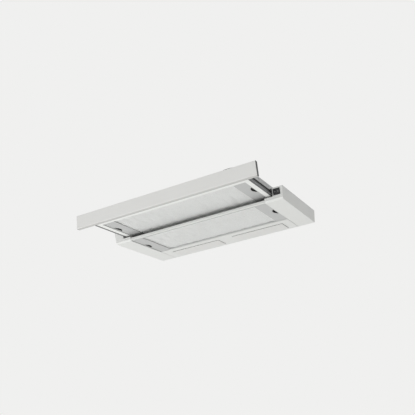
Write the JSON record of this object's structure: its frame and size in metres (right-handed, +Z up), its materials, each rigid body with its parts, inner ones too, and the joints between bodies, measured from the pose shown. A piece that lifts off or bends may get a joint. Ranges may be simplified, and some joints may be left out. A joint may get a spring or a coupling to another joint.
{
  "type": "built-in cooker hood",
  "caption": "Telescopic built-in cooker hood: a shallow tray under a cabinet with a pull-out filter drawer, lamp panel, rocker control, and a blower housing with a duct collar above.",
  "frame": {"origin": "on the wall face, on the hood's centre line, level with the cabinet underside", "axes": "+X to the user's right, -Y towards the user, +Z up"},
  "size_m": [0.598, 0.47, 0.1935],
  "materials": {
    "frame_paint": "satin light grey paint",
    "panel_paint": "satin silver grey paint",
    "drawer_paint": "satin white paint",
    "cover_paint": "satin silver grey paint",
    "galvanised_steel": "zinc-coated sheet",
    "filter_aluminium": "rolled sheet",
    "filter_mesh": "expanded mesh in layers",
    "slide_steel": "dark zinc-plated",
    "ball_steel": "polished",
    "cap_plastic": "fine grain",
    "latch_plastic": "fine grain",
    "control_plastic": "fine grain",
    "rocker_plastic": "smooth",
    "duct_plastic": "fine grain",
    "blower_plastic": "smooth moulded",
    "motor_steel": "pressed sheet",
    "capacitor_aluminium": "drawn can",
    "rubber": "moulded",
    "box_plastic": "moulded",
    "opal_plastic": "opal diffuser",
    "lamp_glass": "frosted glass"
  },
  "bodies": {
    "root": {"lower_frame": "frame_paint", "top_plate": "galvanised_steel", "housing_wrap": "galvanised_steel", "rear_panel": "galvanised_steel", "housing_lid": "galvanised_steel", "duct_collar": "duct_plastic", "flap_pin": "motor_steel", "scroll_case": "blower_plastic", "scroll_cover": "blower_plastic", "inlet_ring": "blower_plastic", "motor": "motor_steel", "motor_mounts": "rubber", "capacitor": "capacitor_aluminium", "terminal_box": "box_plastic", "terminal_lid": "box_plastic", "cable_gland": "box_plastic", "slide_fixed_left": "slide_steel", "slide_fixed_right": "slide_steel", "rear_filter_frame": "filter_aluminium", "rear_filter_mesh": "filter_mesh", "lamp_panel": "frame_paint", "lamp_cover_left": "opal_plastic", "lamp_cover_right": "opal_plastic", "lampholder_left": "box_plastic", "lampholder_right": "box_plastic", "lamp_left": "lamp_glass", "lamp_right": "lamp_glass", "control_bezel": "control_plastic", "switch_body": "control_plastic", "drawer_switch": "control_plastic"},
    "drawer": {"front_panel": "panel_paint", "panel_end_cap_left": "cap_plastic", "panel_end_cap_right": "cap_plastic", "drawer_front_rail": "drawer_paint", "drawer_rear_rail": "drawer_paint", "drawer_top_cover": "cover_paint", "drawer_side_left": "drawer_paint", "drawer_side_right": "drawer_paint", "slide_moving_left": "slide_steel", "slide_moving_right": "slide_steel", "drawer_filter_frame": "filter_aluminium", "drawer_filter_mesh": "filter_mesh"},
    "slide_cage_left": {"ball_cage_left": "slide_steel", "slide_balls_left": "ball_steel"},
    "slide_cage_right": {"ball_cage_right": "slide_steel", "slide_balls_right": "ball_steel"},
    "blower_wheel": {"impeller": "blower_plastic", "motor_shaft": "motor_steel"},
    "flap_left": {"flap_left": "duct_plastic"},
    "flap_right": {"flap_right": "duct_plastic"},
    "drawer_latch_left": {"drawer_filter_latch_left": "latch_plastic"},
    "drawer_latch_right": {"drawer_filter_latch_right": "latch_plastic"},
    "rear_latch_left": {"rear_filter_latch_left": "latch_plastic"},
    "rear_latch_right": {"rear_filter_latch_right": "latch_plastic"},
    "light_rocker": {"light_rocker": "rocker_plastic"},
    "fan_rocker": {"fan_rocker": "rocker_plastic"},
    "switch_plunger": {"switch_plunger": "control_plastic"}
  },
  "joints": [
    {"name": "drawer_slide", "type": "slide", "parent": "root", "child": "drawer", "axis": [0, 1, 0], "range_m": [0, 0.176]},
    {"name": "cage_left_slide", "type": "slide", "parent": "root", "child": "slide_cage_left", "axis": [0, 1, 0], "range_m": [0, 0.088]},
    {"name": "cage_right_slide", "type": "slide", "parent": "root", "child": "slide_cage_right", "axis": [0, 1, 0], "range_m": [0, 0.088]},
    {"name": "wheel_spin", "type": "hinge", "parent": "root", "child": "blower_wheel", "pos_m": [-0.075, -0.125, 0.035], "axis": [0, 0, 1], "continuous": true},
    {"name": "flap_left_hinge", "type": "hinge", "parent": "root", "child": "flap_left", "pos_m": [0.088, -0.122, 0.126], "axis": [0, 1, 0], "range_deg": [0, 80]},
    {"name": "flap_right_hinge", "type": "hinge", "parent": "root", "child": "flap_right", "pos_m": [0.088, -0.122, 0.126], "axis": [0, -1, 0], "range_deg": [0, 80]},
    {"name": "drawer_latch_left_slide", "type": "slide", "parent": "drawer", "child": "drawer_latch_left", "axis": [1, 0, 0], "range_m": [0, 0.005], "stiffness_N_per_m": 250},
    {"name": "drawer_latch_right_slide", "type": "slide", "parent": "drawer", "child": "drawer_latch_right", "axis": [-1, 0, 0], "range_m": [0, 0.005], "stiffness_N_per_m": 250},
    {"name": "rear_latch_left_slide", "type": "slide", "parent": "root", "child": "rear_latch_left", "axis": [1, 0, 0], "range_m": [0, 0.005], "stiffness_N_per_m": 250},
    {"name": "rear_latch_right_slide", "type": "slide", "parent": "root", "child": "rear_latch_right", "axis": [-1, 0, 0], "range_m": [0, 0.005], "stiffness_N_per_m": 250},
    {"name": "light_rocker_hinge", "type": "hinge", "parent": "root", "child": "light_rocker", "pos_m": [0.2734, -0.2785, -0.014], "axis": [-1, 0, 0], "range_deg": [0, 14]},
    {"name": "fan_rocker_hinge", "type": "hinge", "parent": "root", "child": "fan_rocker", "pos_m": [0.2826, -0.2785, -0.014], "axis": [1, 0, 0], "range_deg": [-7, 7]},
    {"name": "switch_plunger_slide", "type": "slide", "parent": "root", "child": "switch_plunger", "axis": [0, 1, 0], "range_m": [0, 0.002], "stiffness_N_per_m": 120}
  ],
  "couplings": [
    {"joint": "cage_left_slide", "follows": "drawer_slide", "ratio": 0.5},
    {"joint": "cage_right_slide", "follows": "drawer_slide", "ratio": 0.5}
  ]
}
